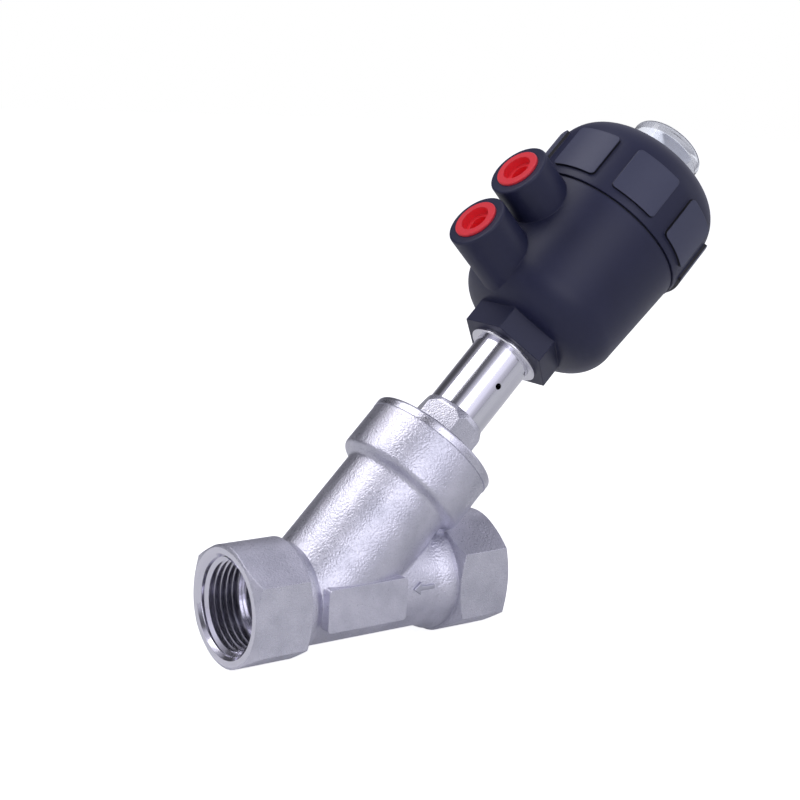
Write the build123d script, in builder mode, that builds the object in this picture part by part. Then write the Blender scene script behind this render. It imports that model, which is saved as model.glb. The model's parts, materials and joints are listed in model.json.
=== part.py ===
from build123d import *
from math import cos, radians, sin
import os

# Pneumatic angle seat valve, DN 25, G 1 threaded ends, normally closed.
# Millimetres. The origin is the centre of the outlet end face, +X runs along the
# pipe towards the inlet, +Z is up. The stem leans 45 degrees over the inlet, and
# heights "along the stem" are counted from where its axis crosses the pipe axis.

# ---------------------------------------------------------------- driving sizes
face_to_face = 105.0
stem_cross = 36.0
stem_angle = 45.0

hex_across_flats = 41.0
boss_length = 22.0
boss_face_radius = 19.8
boss_turn_angle = 27.0
boss_crown_fillet = 18.0
thread_radius = 16.6
thread_depth = 17.0

run_radius = 17.6
neck_radius = 19.4
outlet_neck_length = 6.0
inlet_neck_length = 9.0
neck_sink = 0.5
run_bore_radius = 14.0
run_overlap = 2.0
branch_radius = 20.2
branch_belly_depth = 10.0
collar_radius = 24.2
collar_start = 48.6
collar_flare = 5.0
body_top = 64.2
blend_radius = 2.0

pad_start = 27.6
pad_length = 32.0
pad_height = 15.0
pad_face = 20.9
pad_corner = 1.5
pad_depth = 4.0

seat_height = 6.5
seat_bore_radius = 12.5
seat_wall = 3.2
seat_lip_width = 1.4
seat_lip_height = 1.0
seat_lip_root = 0.5
chamber_radius = 17.0
chamber_top = 50.0
bonnet_thread_radius = 20.5

gasket_thickness = 1.5
bonnet_flange_radius = 24.4
bonnet_flange_thickness = 3.4
bonnet_flange_round = 1.2
bonnet_hex_across_flats = 23.0
bonnet_hex_height = 12.3
bonnet_hex_face_radius = 11.25
bonnet_hex_chamfer = 4.0
bonnet_nose_height = 7.0
bonnet_stem_gap = 0.4
gasket_gap = 0.2
packing_radius = 7.8
packing_floor = 58.0
bush_radius = 7.0
bush_length = 5.5

tube_radius = 11.0
tube_wall = 1.4
tube_top = 128.0
tube_collar_radius = 13.6
tube_collar_thickness = 1.5
tube_collar_chamfer = 0.4
vent_height = 95.2
vent_radius = 1.15
vent_angle = 83.0

stroke = 12.0
stem_radius = 5.0
stem_end_radius = 4.0
running_gap = 0.06
static_gap = 0.05
swivel_gap = 0.08
thin_gap = 0.1
groove_gap = 0.2

seal_radius = 15.0
seal_thickness = 3.5
disc_radius = 16.2
disc_thickness = 8.0
disc_rim = 2.5
disc_back_radius = 9.5
disc_seal_grip = 2.5
stem_step = 2.0
stem_end_run = 1.5
stem_end_chamfer = 0.8
disc_washer_radius = 10.5
disc_washer_thickness = 1.8
m8_nut_across_flats = 13.0
m8_nut_thickness = 6.5

vee_ring_count = 3
vee_ring_pitch = 2.0
vee_ring_rise = 0.9
packing_wire = 1.5
packing_turns = 3
packing_spring_length = 9.5
support_thickness = 1.5
gland_flange = 3.0

rod_bush_low = 115.0
rod_seal_section = 1.1
rod_seal_height = 122.0
tube_seal_section = 1.1
tube_seal_height = 115.0
lock_nut_radius = 15.0
lock_nut_slot = 3.0
lock_nut_slot_depth = 1.5

actuator_base = 110.0
base_hex_across_flats = 32.0
base_hex_height = 9.3
housing_base_round = 14.0
housing_waist_radius = 30.2
housing_top_radius = 32.3
housing_seam = 167.6
spigot_step = 2.9
spigot_length = 10.4
housing_spigot_radius = housing_top_radius - spigot_step
housing_spigot_top = housing_seam + spigot_length
cylinder_radius = 25.1
cylinder_floor = 124.0
foot_overlap = 3.0

port_low = 131.6
port_high = 156.3
port_reach = 45.9
port_boss_radius = 11.2
port_boss_round = 0.9
port_boss_root = 8.0
port_thread_radius = 6.6
port_thread_depth = 12.0
port_passage_radius = 2.0
port_break_through = 2.0

cap_gap = 0.6
cap_overhang = 0.8
cap_height = 36.4  # above the seam
cap_radius = housing_top_radius + cap_overhang
cap_top = housing_seam + cap_height
cap_edge_fall = 16.0
cap_edge_start = cap_top - cap_edge_fall
cap_edge_round = 14.0
cap_edge_turn = 61.0
cap_deck_radius = 14.9
cap_roof = 8.0  # of the cap, over its piston space
cap_ceiling = cap_top - cap_roof
cap_cavity_inset = 2.4
cap_cavity_radius = housing_spigot_radius - cap_cavity_inset
cap_guide_radius = 5.6
cap_guide_drop = 8.0
cap_shoulder = 6.0
cap_shoulder_slope = 5.0
cap_skirt_chamfer = 1.5
cap_skirt_lean = 0.3
cap_socket_gap = 0.5
cap_seal_inset = 0.6
grip_count = 8
grip_phase = 10.6
grip_width = 18.6
grip_length = 18.0
grip_overrun = 1.3
grip_high = cap_edge_start + grip_overrun
grip_low = grip_high - grip_length
grip_proud = 1.2
grip_radius = cap_radius + grip_proud
grip_corner = 1.6
grip_root = 1.6

dome_radius = 14.3
dome_height = 11.4
dome_top = cap_top + dome_height
dome_round = 2.6
dome_wall = 3.0
dome_spigot_radius = 12.3
dome_spigot_wall = 2.6
dome_recess_depth = 4.8
dome_ring_section = 0.9
rod_radius = 3.2
rod_tip_chamfer = 0.6
rod_headroom = 1.4
stud_radius = 1.9
stud_length = 5.0
stud_clearance = 0.3

piston_low = 136.0
piston_thickness = 10.0
piston_gap = 0.3
piston_well_radius = 21.6
piston_hub_radius = 9.0
piston_web = 4.5
piston_hub_step = 1.0
piston_washer_thickness = 1.4
piston_washer_radius = 8.0
guide_groove_depth = 1.5
guide_groove_start = 1.2
guide_groove_width = 2.2
lip_groove_depth = 2.2
lip_groove_start = 4.6
lip_groove_width = 4.0
lip_heel = 0.7
lip_valley = 1.8
lip_edge = 0.5
lip_lean = 0.3
spring_radius = 19.3
spring_wire = 3.6
spring_turns = 4.5
wire_sides = 8

plug_flange_radius = 8.0
plug_flange_thickness = 1.0
plug_flange_chamfer = 0.3
plug_body_gap = 0.25
plug_body_length = 8.0
plug_mouth_radius = 5.3
plug_mouth_depth = 3.0
plug_hole_radius = 3.6
plug_floor = 1.2

# ------------------------------------------------------------ worked-out places
stem_direction = Vector(cos(radians(stem_angle)), 0, sin(radians(stem_angle)))
stem_side = Vector(-sin(radians(stem_angle)), 0, cos(radians(stem_angle)))
stem_foot = Vector(stem_cross, 0, 0)
stem_axis = Axis(stem_foot, stem_direction)
# local x is the radius, local y the height along the stem
stem_section = Plane(origin=stem_foot, x_dir=stem_side, z_dir=(0, 1, 0))

hex_corner_radius = hex_across_flats / 2 / cos(radians(30))
boss_turn_length = (hex_corner_radius - boss_face_radius) * sin(radians(boss_turn_angle)) / cos(
    radians(boss_turn_angle)
)
gasket_top = chamber_top + gasket_thickness
flange_top = body_top + bonnet_flange_thickness
bonnet_hex_top = flange_top + bonnet_hex_height
bonnet_nose_top = bonnet_hex_top + bonnet_nose_height
tube_bore = tube_radius - tube_wall
piston_top = piston_low + piston_thickness
base_bottom_radius = housing_waist_radius - housing_base_round
housing_base = actuator_base + base_hex_height
cap_skirt_low = housing_seam + cap_gap
recess_floor = cap_top - dome_recess_depth
rod_top = dome_top - dome_wall - rod_headroom - stroke
packing_outer = packing_radius - static_gap
packing_middle = (stem_radius + packing_outer) / 2


def across_stem(height):
    """Plane square to the stem: local x is the upper side, local y the front."""
    return Plane(
        origin=stem_foot + stem_direction * height,
        x_dir=stem_side,
        z_dir=stem_direction,
    )


def facing_out(height, angle, radius):
    """Plane that touches a cylinder about the stem, its normal pointing outwards."""
    out = stem_side * cos(radians(angle)) + Vector(0, -1, 0) * sin(radians(angle))
    return Plane(
        origin=stem_foot + stem_direction * height + out * radius,
        x_dir=stem_direction.cross(out),
        z_dir=out,
    )


def turned(*corners, mode=Mode.ADD):
    """Turn a straight-sided section, given as (radius, height), about the stem."""
    with BuildSketch(stem_section) as section:
        with BuildLine():
            Polyline(*corners, close=True)
        make_face()
    revolve(section.sketch, axis=stem_axis, mode=mode)


def turned_ring(inner, outer, low, high, mode=Mode.ADD):
    """Turn a plain ring about the stem."""
    turned((inner, low), (outer, low), (outer, high), (inner, high), mode=mode)


def o_ring(mean_radius, height, section_radius):
    """Turn a seal section, round to within its flats, about the stem."""
    with BuildSketch(stem_section) as section:
        with Locations((mean_radius, height)):
            RegularPolygon(section_radius, wire_sides)
    revolve(section.sketch, axis=stem_axis)


def coil(mean_radius, wire, turns, low, high):
    """Wind a spring wire, round to within its flats, between two heights."""
    rise = high - low - wire
    with BuildLine() as path:
        Helix(
            pitch=rise / turns,
            height=rise,
            radius=mean_radius,
            center=stem_foot + stem_direction * (low + wire / 2),
            direction=stem_direction,
        )
    with BuildSketch(Plane(origin=path.line @ 0, z_dir=path.line % 0)) as section:
        RegularPolygon(wire / 2, wire_sides)
    sweep(section.sketch, path=path.line, is_frenet=True)


def finish(part, name):
    """Label a finished piece and write its file."""
    part.label = name
    export_step(part, f"parts/{name}.step")


os.makedirs("parts", exist_ok=True)

# ----------------------------------------------------------------- valve body
# Hexagon end with rounded crown corners, both ends turned back like a nut.
with BuildPart() as end_boss:
    with BuildSketch(Plane.YZ):
        RegularPolygon(hex_across_flats / 2, 6, major_radius=False, rotation=30)
        crowns = vertices().group_by(Axis.Y)
        fillet(crowns[0] + crowns[-1], boss_crown_fillet)
    extrude(amount=boss_length)
    with BuildSketch(Plane.XZ):
        with BuildLine():
            Polyline(
                (0, 0),
                (0, boss_face_radius),
                (boss_turn_length, hex_corner_radius),
                (boss_length - boss_turn_length, hex_corner_radius),
                (boss_length, boss_face_radius),
                (boss_length, 0),
                close=True,
            )
        make_face()
    revolve(axis=Axis.X, mode=Mode.INTERSECT)

# Outlet half of the waterway: thread bore and the way up to the seat wall.
with BuildPart() as outlet_way:
    with BuildSketch(Plane.YZ):
        Circle(run_bore_radius)
    extrude(amount=face_to_face / 2)
    split(bisect_by=across_stem(seat_height - seat_wall), keep=Keep.BOTTOM)
    with BuildSketch(Plane.YZ):
        Circle(thread_radius)
    extrude(amount=thread_depth)

# Inlet half: thread bore, the way to the chamber over the seat, bonnet thread.
with BuildPart() as inlet_way:
    with BuildSketch(Plane.YZ.offset(stem_cross - run_bore_radius)):
        Circle(run_bore_radius)
    extrude(amount=face_to_face - stem_cross + run_bore_radius)
    split(bisect_by=across_stem(seat_height), keep=Keep.TOP)
    turned(
        (0, seat_height),
        (chamber_radius, seat_height),
        (chamber_radius, chamber_top),
        (bonnet_thread_radius, chamber_top),
        (bonnet_thread_radius, body_top),
        (0, body_top),
    )
    with BuildSketch(Plane.YZ.offset(face_to_face)):
        Circle(thread_radius)
    extrude(amount=-thread_depth)

with BuildPart() as valve_body:
    with BuildSketch(Plane.YZ.offset(boss_length - run_overlap)):
        Circle(run_radius)
    extrude(amount=face_to_face - 2 * (boss_length - run_overlap))
    # branch with a rounded belly, flared out to the collar
    with BuildSketch(stem_section):
        with BuildLine():
            belly = EllipticalCenterArc(
                (0, 0), branch_radius, branch_belly_depth, start_angle=270, arc_size=90
            )
            wall = Line(belly @ 1, (branch_radius, collar_start - collar_flare))
            flare = Spline(
                wall @ 1,
                (collar_radius, collar_start),
                tangents=((0, 1), (0, 1)),
            )
            Polyline(flare @ 1, (collar_radius, body_top), (0, body_top), belly @ 0)
        make_face()
    revolve(axis=stem_axis)
    # cast blend where the branch grows out of the run
    seam = edges().filter_by(GeomType.BSPLINE)
    fillet(seam.filter_by(lambda edge: edge.center().Z < branch_radius * 1.5), blend_radius)
    # necks behind the bosses, the inlet's the longer one
    for near, far in (
        (boss_length - run_overlap, boss_length + outlet_neck_length),
        (
            face_to_face - boss_length + run_overlap,
            face_to_face - boss_length - inlet_neck_length,
        ),
    ):
        with BuildSketch(Plane.XZ):
            with BuildLine():
                Polyline(
                    (near, 0),
                    (near, neck_radius),
                    ((near + far) / 2, neck_radius),
                    (far, run_radius - neck_sink),
                    (far, 0),
                    close=True,
                )
            make_face()
        revolve(axis=Axis.X)
    add(end_boss.part)
    with Locations(Location((face_to_face - boss_length, 0, 0))):
        add(end_boss.part)
    # flat pad on the front, left bare
    with BuildSketch(Plane.XZ.offset(pad_face - pad_depth)):
        with Locations((pad_start + pad_length / 2, 0)):
            RectangleRounded(pad_length, pad_height, pad_corner)
    extrude(amount=pad_depth)
    # waterways, then the seat bored through the wall between them
    add(outlet_way.part, mode=Mode.SUBTRACT)
    add(inlet_way.part, mode=Mode.SUBTRACT)
    turned_ring(
        0, seat_bore_radius, seat_height - 2 * seat_wall, seat_height, mode=Mode.SUBTRACT
    )
    turned_ring(
        seat_bore_radius,
        seat_bore_radius + seat_lip_width,
        seat_height - seat_lip_root,
        seat_height + seat_lip_height,
    )
finish(valve_body.part, "valve_body")

# --------------------------------------------------- bonnet, packing and tube
with BuildPart() as bonnet_gasket:
    turned_ring(
        chamber_radius + gasket_gap,
        bonnet_thread_radius - static_gap,
        chamber_top,
        gasket_top,
    )
finish(bonnet_gasket.part, "bonnet_gasket")

with BuildPart() as bonnet:
    turned_ring(0, bonnet_thread_radius - static_gap, gasket_top, body_top)
    turned_ring(0, bonnet_flange_radius, body_top, flange_top)
    rim = edges().filter_by(GeomType.CIRCLE).sort_by(stem_axis)[-1]
    fillet(rim, bonnet_flange_round)
    with BuildSketch(across_stem(flange_top)):
        RegularPolygon(bonnet_hex_across_flats / 2, 6, major_radius=False)
    extrude(amount=bonnet_hex_height)
    # steep turned chamfer on the hexagon's upper corners
    corner_radius = bonnet_hex_across_flats / 2 / cos(radians(30))
    turned(
        (bonnet_hex_face_radius, bonnet_hex_top),
        (corner_radius, bonnet_hex_top),
        (corner_radius, bonnet_hex_top - bonnet_hex_chamfer),
        mode=Mode.SUBTRACT,
    )
    turned_ring(0, tube_bore - static_gap, bonnet_hex_top, bonnet_nose_top)
    # packing chamber, stem hole and the bush seat below
    turned_ring(0, packing_radius, packing_floor, bonnet_nose_top, mode=Mode.SUBTRACT)
    turned_ring(
        0, stem_radius + bonnet_stem_gap, gasket_top, packing_floor, mode=Mode.SUBTRACT
    )
    turned_ring(0, bush_radius, gasket_top, gasket_top + bush_length, mode=Mode.SUBTRACT)
finish(bonnet.part, "bonnet")

with BuildPart() as stem_guide_bush:
    turned_ring(
        stem_radius + running_gap,
        bush_radius - static_gap,
        gasket_top,
        gasket_top + bush_length - static_gap,
    )
finish(stem_guide_bush.part, "stem_guide_bush")

spring_top = packing_floor + packing_spring_length
support_top = spring_top + support_thickness
vee_top = support_top + vee_ring_count * vee_ring_pitch

with BuildPart() as packing_spring:
    coil(
        (stem_radius + packing_radius) / 2,
        packing_wire,
        packing_turns,
        packing_floor + static_gap,
        spring_top - static_gap,
    )
finish(packing_spring.part, "packing_spring")

with BuildPart() as packing_support_ring:
    turned(
        (stem_radius + groove_gap, spring_top),
        (packing_outer, spring_top),
        (packing_outer, support_top),
        (packing_middle, support_top + vee_ring_rise),
        (stem_radius + groove_gap, support_top),
    )
finish(packing_support_ring.part, "packing_support_ring")

with BuildPart() as packing_rings:
    for ring in range(vee_ring_count):
        low = support_top + static_gap + ring * vee_ring_pitch
        high = low + vee_ring_pitch - static_gap
        turned(
            (stem_radius + running_gap, low),
            (packing_middle, low + vee_ring_rise),
            (packing_outer, low),
            (packing_outer, high),
            (packing_middle, high + vee_ring_rise),
            (stem_radius + running_gap, high),
        )
finish(packing_rings.part, "packing_rings")

with BuildPart() as gland_bush:
    gland_low = vee_top + static_gap
    turned(
        (stem_radius + thin_gap, gland_low),
        (packing_middle, gland_low + vee_ring_rise),
        (packing_outer, gland_low),
        (packing_outer, bonnet_nose_top),
        (tube_bore - static_gap, bonnet_nose_top),
        (tube_bore - static_gap, bonnet_nose_top + gland_flange),
        (stem_radius + thin_gap, bonnet_nose_top + gland_flange),
    )
finish(gland_bush.part, "gland_bush")

with BuildPart() as tube:
    turned_ring(tube_bore, tube_radius, bonnet_hex_top, tube_top)
    with BuildSketch(facing_out(vent_height, vent_angle, tube_radius + tube_wall)):
        Circle(vent_radius)
    extrude(amount=-tube_wall * 3, mode=Mode.SUBTRACT)
finish(tube.part, "spacer_tube")

# ------------------------------------------------- joint of tube and actuator
with BuildPart() as tube_collar:
    turned_ring(
        tube_radius + static_gap,
        tube_collar_radius,
        actuator_base - thin_gap - tube_collar_thickness,
        actuator_base - thin_gap,
    )
    rims = edges().filter_by(GeomType.CIRCLE).group_by(stem_axis)[0].sort_by(SortBy.RADIUS)
    chamfer(rims[-1], tube_collar_chamfer)
finish(tube_collar.part, "tube_collar")

with BuildPart() as actuator_lock_nut:
    turned_ring(
        tube_radius + static_gap,
        lock_nut_radius,
        cylinder_floor + thin_gap,
        tube_top,
    )
    with BuildSketch(across_stem(tube_top - lock_nut_slot_depth)):
        with PolarLocations(lock_nut_radius, 4):
            Rectangle(lock_nut_slot, lock_nut_slot)
    extrude(amount=lock_nut_slot_depth, mode=Mode.SUBTRACT)
finish(actuator_lock_nut.part, "actuator_lock_nut")

with BuildPart() as rod_bush:
    turned_ring(
        stem_radius + running_gap, tube_bore - static_gap, rod_bush_low, tube_top
    )
    turned_ring(
        stem_radius,
        stem_radius + 2 * rod_seal_section + groove_gap,
        rod_seal_height - rod_seal_section - thin_gap,
        rod_seal_height + rod_seal_section + thin_gap,
        mode=Mode.SUBTRACT,
    )
finish(rod_bush.part, "rod_bush")

with BuildPart() as rod_seal:
    o_ring(stem_radius + running_gap + rod_seal_section, rod_seal_height, rod_seal_section)
finish(rod_seal.part, "rod_seal")

# ---------------------------------------------------------- actuator housing
with BuildPart() as actuator_housing:
    # moulded cup: rounded bottom, drafted wall, spigot for the cap
    with BuildSketch(stem_section):
        with BuildLine():
            bottom = Line((0, housing_base), (base_bottom_radius, housing_base))
            shoulder = CenterArc(
                (base_bottom_radius, housing_base + housing_base_round),
                housing_base_round,
                start_angle=270,
                arc_size=90,
            )
            Polyline(
                shoulder @ 1,
                (housing_top_radius, housing_seam),
                (housing_spigot_radius, housing_seam),
                (housing_spigot_radius, housing_spigot_top),
                (0, housing_spigot_top),
                bottom @ 0,
            )
        make_face()
    revolve(axis=stem_axis)
    # two air port bosses, square to the stem on its upper side
    for height in (port_low, port_high):
        with BuildSketch(facing_out(height, 0, 0).offset(cylinder_radius - port_boss_root)):
            Circle(port_boss_radius)
        extrude(amount=port_reach - cylinder_radius + port_boss_root)
    rims = edges().filter_by(GeomType.CIRCLE).group_by(Axis(stem_foot, stem_side))[-1]
    fillet(rims, port_boss_round)
    # hexagon foot that holds the actuator still while it is turned
    with BuildSketch(across_stem(actuator_base)):
        RegularPolygon(base_hex_across_flats / 2, 6, major_radius=False, rotation=30)
    extrude(amount=base_hex_height + foot_overlap)
    # cylinder bore, tube bore and its seal groove
    turned_ring(0, cylinder_radius, cylinder_floor, housing_spigot_top, mode=Mode.SUBTRACT)
    turned_ring(0, tube_radius + swivel_gap, actuator_base, cylinder_floor, mode=Mode.SUBTRACT)
    turned_ring(
        tube_radius,
        tube_radius + 2 * tube_seal_section + groove_gap,
        tube_seal_height - tube_seal_section - groove_gap,
        tube_seal_height + tube_seal_section + groove_gap,
        mode=Mode.SUBTRACT,
    )
    # port threads and the air passages into the cylinder
    for height in (port_low, port_high):
        with BuildSketch(facing_out(height, 0, port_reach)):
            Circle(port_thread_radius)
        extrude(amount=-port_thread_depth, mode=Mode.SUBTRACT)
        with BuildSketch(facing_out(height, 0, port_reach)):
            Circle(port_passage_radius)
        extrude(amount=cylinder_radius - port_break_through - port_reach, mode=Mode.SUBTRACT)
finish(actuator_housing.part, "actuator_housing")

with BuildPart() as tube_seal:
    o_ring(
        tube_radius + running_gap + tube_seal_section, tube_seal_height, tube_seal_section
    )
finish(tube_seal.part, "tube_seal")

# ------------------------------------------------------------- actuator cap
# Eight raised grip pads, cut from one band so that their faces stay round.
grip_middle = (grip_low + grip_high) / 2
with BuildPart() as grip_pads:
    for pad in range(grip_count):
        angle = grip_phase + pad * 360 / grip_count
        with BuildSketch(facing_out(grip_middle, angle, cap_radius - grip_root)):
            RectangleRounded(grip_width, grip_high - grip_low, grip_corner)
        extrude(amount=cap_radius)
    turned_ring(0, grip_radius, grip_low, grip_high, mode=Mode.INTERSECT)

crown_turn = radians(cap_edge_turn)
crown_radius = cap_radius - cap_edge_round * (1 - cos(crown_turn))
crown_height = cap_edge_start + cap_edge_round * sin(crown_turn)

with BuildPart() as actuator_cap:
    with BuildSketch(stem_section):
        with BuildLine():
            edge_round = CenterArc(
                (cap_radius - cap_edge_round, cap_edge_start),
                cap_edge_round,
                start_angle=0,
                arc_size=cap_edge_turn,
            )
            Polyline(
                edge_round @ 1,
                (cap_deck_radius, cap_top),
                (0, cap_top),
                (0, cap_skirt_low),
                (cap_radius - cap_skirt_lean, cap_skirt_low),
                (cap_radius, cap_skirt_low + cap_skirt_chamfer),
                edge_round @ 0,
            )
        make_face()
    revolve(axis=stem_axis)
    add(grip_pads.part)
    # skirt bore over the housing spigot, then the spring room
    turned_ring(
        0,
        housing_spigot_radius + static_gap,
        cap_skirt_low,
        housing_spigot_top + cap_socket_gap,
        mode=Mode.SUBTRACT,
    )
    turned(
        (0, housing_spigot_top),
        (cap_cavity_radius, housing_spigot_top),
        (cap_cavity_radius, cap_ceiling - cap_shoulder),
        (cap_cavity_radius - cap_shoulder_slope, cap_ceiling),
        (cap_guide_radius, cap_ceiling),
        (cap_guide_radius, cap_ceiling - cap_guide_drop),
        (0, cap_ceiling - cap_guide_drop),
        mode=Mode.SUBTRACT,
    )
    # screwed seat for the sight dome and the hole for the indicator rod
    turned_ring(
        0, dome_spigot_radius + static_gap, recess_floor, cap_top, mode=Mode.SUBTRACT
    )
    turned_ring(
        0,
        rod_radius + running_gap,
        cap_ceiling - cap_guide_drop,
        cap_top,
        mode=Mode.SUBTRACT,
    )
finish(actuator_cap.part, "actuator_cap")

with BuildPart() as cap_seal:
    turned_ring(
        housing_spigot_radius + groove_gap,
        housing_top_radius - cap_seal_inset,
        housing_seam,
        cap_skirt_low,
    )
finish(cap_seal.part, "cap_seal")

dome_inner = dome_spigot_radius - dome_spigot_wall
dome_ring_top = recess_floor + 2 * dome_ring_section
with BuildPart() as sight_dome:
    turned_ring(0, dome_radius, cap_top, dome_top)
    rim = edges().filter_by(GeomType.CIRCLE).sort_by(stem_axis)[-1]
    fillet(rim, dome_round)
    turned_ring(0, dome_spigot_radius, dome_ring_top + static_gap, cap_top)
    turned_ring(
        0, dome_inner, dome_ring_top, dome_top - dome_wall, mode=Mode.SUBTRACT
    )
finish(sight_dome.part, "sight_dome")

with BuildPart() as dome_seal:
    o_ring(
        dome_spigot_radius - dome_ring_section - thin_gap,
        recess_floor + dome_ring_section,
        dome_ring_section,
    )
finish(dome_seal.part, "dome_seal")

# ------------------------------------------------------------- closing spring
with BuildPart() as closing_spring:
    coil(
        spring_radius,
        spring_wire,
        spring_turns,
        piston_low + piston_web + static_gap,
        cap_ceiling - static_gap,
    )
finish(closing_spring.part, "closing_spring")

# ------------------------------------------------------------- port dust plugs
for name, height in (("port_plug_open", port_low), ("port_plug_close", port_high)):
    with BuildPart() as port_plug:
        with BuildSketch(facing_out(height, 0, port_reach)):
            Circle(plug_flange_radius)
        extrude(amount=plug_flange_thickness)
        rim = edges().filter_by(GeomType.CIRCLE).sort_by(Axis(stem_foot, stem_side))[-1]
        chamfer(rim, plug_flange_chamfer)
        with BuildSketch(facing_out(height, 0, port_reach)):
            Circle(port_thread_radius - plug_body_gap)
        extrude(amount=-plug_body_length)
        with BuildSketch(facing_out(height, 0, port_reach + plug_flange_thickness)):
            Circle(plug_mouth_radius)
        extrude(amount=-plug_mouth_depth, mode=Mode.SUBTRACT)
        with BuildSketch(facing_out(height, 0, port_reach)):
            Circle(plug_hole_radius)
        extrude(amount=plug_floor - plug_body_length, mode=Mode.SUBTRACT)
    finish(port_plug.part, name)

# ------------------------------------------------------- stem, disc and piston
seal_low = seat_height + seat_lip_height
washer_low = seal_low - disc_washer_thickness
nut_low = washer_low - m8_nut_thickness
disc_shoulder = seal_low + seal_thickness
piston_washer_low = piston_top + piston_hub_step
piston_nut_low = piston_washer_low + piston_washer_thickness
piston_nut_top = piston_nut_low + m8_nut_thickness
stud_top = piston_nut_top + stud_length

with BuildPart() as stem:
    turned(
        (0, nut_low - stem_end_run),
        (stem_end_radius - stem_end_chamfer, nut_low - stem_end_run),
        (stem_end_radius, nut_low - stem_end_run + stem_end_chamfer),
        (stem_end_radius, disc_shoulder + stem_step),
        (stem_radius, disc_shoulder + stem_step),
        (stem_radius, piston_low - stem_step),
        (stem_end_radius, piston_low - stem_step),
        (stem_end_radius, piston_nut_top),
        (stud_radius, piston_nut_top),
        (stud_radius, stud_top),
        (0, stud_top),
    )
finish(stem.part, "stem")

with BuildPart() as valve_disc:
    turned(
        (stem_end_radius + static_gap, disc_shoulder),
        (seal_radius + static_gap, disc_shoulder),
        (seal_radius + static_gap, disc_shoulder - disc_seal_grip),
        (disc_radius, disc_shoulder - disc_seal_grip),
        (disc_radius, disc_shoulder + disc_rim),
        (disc_back_radius, disc_shoulder + disc_thickness),
        (stem_radius + static_gap, disc_shoulder + disc_thickness),
        (stem_radius + static_gap, disc_shoulder + stem_step),
        (stem_end_radius + static_gap, disc_shoulder + stem_step),
    )
finish(valve_disc.part, "valve_disc")

with BuildPart() as seat_seal:
    turned_ring(stem_end_radius + static_gap, seal_radius, seal_low, disc_shoulder)
finish(seat_seal.part, "seat_seal")

with BuildPart() as disc_washer:
    turned_ring(stem_end_radius + static_gap, disc_washer_radius, washer_low, seal_low)
finish(disc_washer.part, "disc_washer")

with BuildPart() as disc_nut:
    with BuildSketch(across_stem(nut_low)):
        RegularPolygon(m8_nut_across_flats / 2, 6, major_radius=False)
        Circle(stem_end_radius + static_gap, mode=Mode.SUBTRACT)
    extrude(amount=m8_nut_thickness)
finish(disc_nut.part, "disc_nut")

piston_radius = cylinder_radius - piston_gap
guide_groove_low = piston_low + guide_groove_start
guide_groove_high = guide_groove_low + guide_groove_width
lip_groove_low = piston_low + lip_groove_start
lip_groove_high = lip_groove_low + lip_groove_width
with BuildPart() as piston:
    turned(
        (stem_end_radius + static_gap, piston_low - stem_step),
        (piston_hub_radius + piston_hub_step, piston_low - stem_step),
        (piston_hub_radius + piston_hub_step, piston_low),
        (piston_radius, piston_low),
        (piston_radius, guide_groove_low),
        (piston_radius - guide_groove_depth, guide_groove_low),
        (piston_radius - guide_groove_depth, guide_groove_high),
        (piston_radius, guide_groove_high),
        (piston_radius, lip_groove_low),
        (piston_radius - lip_groove_depth, lip_groove_low),
        (piston_radius - lip_groove_depth, lip_groove_high),
        (piston_radius, lip_groove_high),
        (piston_radius, piston_top),
        (piston_well_radius, piston_top),
        (piston_well_radius, piston_low + piston_web),
        (piston_hub_radius, piston_low + piston_web),
        (piston_hub_radius, piston_washer_low),
        (stem_end_radius + static_gap, piston_washer_low),
    )
finish(piston.part, "piston")

with BuildPart() as piston_guide_ring:
    turned_ring(
        piston_radius - guide_groove_depth + static_gap,
        cylinder_radius - running_gap,
        guide_groove_low + static_gap,
        guide_groove_high - static_gap,
    )
finish(piston_guide_ring.part, "piston_guide_ring")

with BuildPart() as piston_lip_seal:
    lip = cylinder_radius - running_gap
    heel = piston_radius - lip_groove_depth + static_gap
    turned(
        (heel, lip_groove_low + static_gap),
        (heel + lip_heel, lip_groove_low + static_gap),
        (heel + lip_heel + lip_edge, lip_groove_low + lip_valley),
        (lip - lip_edge, lip_groove_low + static_gap),
        (lip, lip_groove_low + lip_edge),
        (lip - lip_lean, lip_groove_high - static_gap),
        (heel, lip_groove_high - static_gap),
    )
finish(piston_lip_seal.part, "piston_lip_seal")

with BuildPart() as piston_washer:
    turned_ring(
        stem_end_radius + static_gap,
        piston_washer_radius,
        piston_washer_low,
        piston_nut_low,
    )
finish(piston_washer.part, "piston_washer")

with BuildPart() as piston_nut:
    with BuildSketch(across_stem(piston_nut_low)):
        RegularPolygon(m8_nut_across_flats / 2, 6, major_radius=False)
        Circle(stem_end_radius + static_gap, mode=Mode.SUBTRACT)
    extrude(amount=m8_nut_thickness)
finish(piston_nut.part, "piston_nut")

with BuildPart() as indicator_rod:
    turned(
        (stud_radius + static_gap, piston_nut_top),
        (rod_radius, piston_nut_top),
        (rod_radius, rod_top - rod_tip_chamfer),
        (rod_radius - rod_tip_chamfer, rod_top),
        (0, rod_top),
        (0, stud_top + stud_clearance),
        (stud_radius + static_gap, stud_top + stud_clearance),
    )
finish(indicator_rod.part, "indicator_rod")
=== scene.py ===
"""Looks and stage for the angle seat valve, laid out as an add-on and run as a script."""

import json
from math import atan2, cos, hypot, pi, radians, sin

import bpy
from bpy.props import FloatProperty, FloatVectorProperty, IntProperty, PointerProperty
from mathutils import Matrix, Vector


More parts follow.
